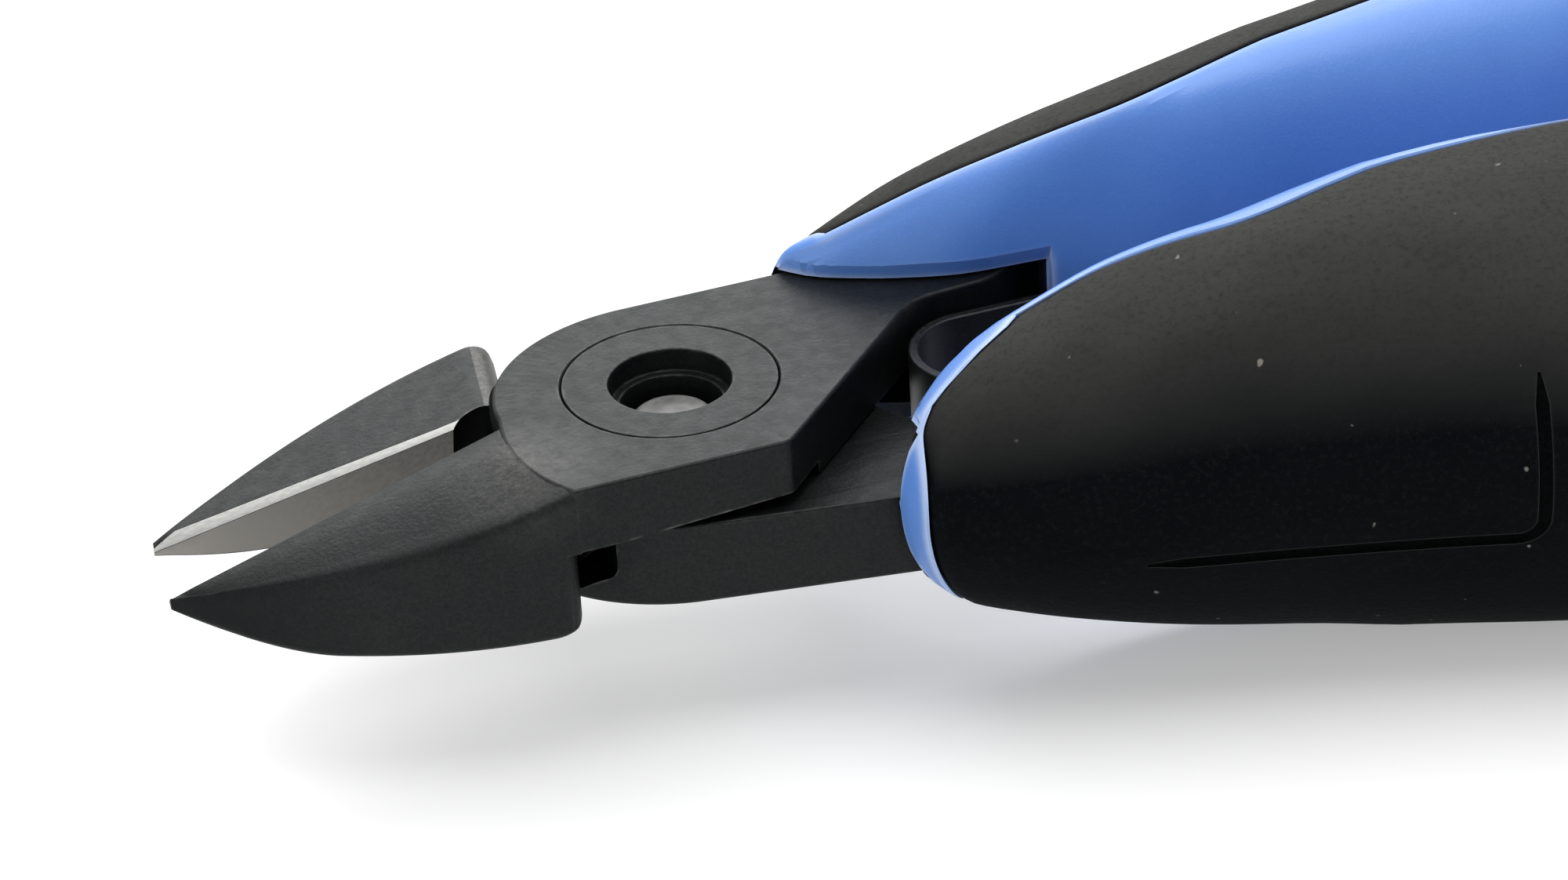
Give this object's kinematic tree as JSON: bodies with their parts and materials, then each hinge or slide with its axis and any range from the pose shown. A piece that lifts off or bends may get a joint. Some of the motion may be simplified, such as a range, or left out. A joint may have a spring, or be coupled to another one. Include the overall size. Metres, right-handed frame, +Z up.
{
  "type": "flush cutter",
  "caption": "Small hand cutter for electronics work: two lapped steel halves on a flush bolt, sprung open, with two-tone cushioned grips.",
  "frame": {"origin": "under the middle of the tool's box, on the surface that it lies on", "axes": "+X towards the ends of the grips, tips towards -X; +Y across the tool, towards the right grip; +Z up, along the joint bolt"},
  "size_m": [0.1366, 0.048, 0.0223],
  "materials": {
    "jaw_steel": "dark burnished steel with a fine satin grain",
    "fastener_steel": "dark turned steel",
    "spring_steel": "grey rolled spring strip",
    "hard_grip": "satin blue moulded plastic with a very fine grain",
    "soft_grip": "matte black soft-touch rubber with a fine grain"
  },
  "bodies": {
    "left_side": {"lower_jaw_half": "jaw_steel", "joint_bolt": "fastener_steel", "joint_lock_screw": "fastener_steel", "left_grip_core": "hard_grip", "left_grip_sleeve": "soft_grip", "left_tang_pin_front": "fastener_steel", "left_tang_pin_rear": "fastener_steel", "left_spring_screw": "fastener_steel", "return_spring": "spring_steel"},
    "right_side": {"upper_jaw_half": "jaw_steel", "right_grip_core": "hard_grip", "right_grip_sleeve": "soft_grip", "right_tang_pin_front": "fastener_steel", "right_tang_pin_rear": "fastener_steel", "right_spring_screw": "fastener_steel"},
    "left_width_screw": {"left_width_screw": "fastener_steel"},
    "right_width_screw": {"right_width_screw": "fastener_steel"}
  },
  "joints": [
    {"name": "jaw_pivot", "type": "hinge", "parent": "left_side", "child": "right_side", "pos_m": [-0.04514, 0, 0.01055], "axis": [0, 0, 1], "range_deg": [-9.9, 0], "stiffness_Nm_per_rad": 0.6, "springref_deg": 28.65, "deforming": ["return_spring"]},
    {"name": "left_width_screw_turn", "type": "hinge", "parent": "left_side", "child": "left_width_screw", "pos_m": [-0.00154, -0.00659, 0.011], "axis": [-0.0865, -0.9963, 0], "range_deg": [-180, 180]},
    {"name": "right_width_screw_turn", "type": "hinge", "parent": "right_side", "child": "right_width_screw", "pos_m": [-0.00154, 0.00659, 0.011], "axis": [-0.0865, 0.9963, 0], "range_deg": [-180, 180]}
  ]
}
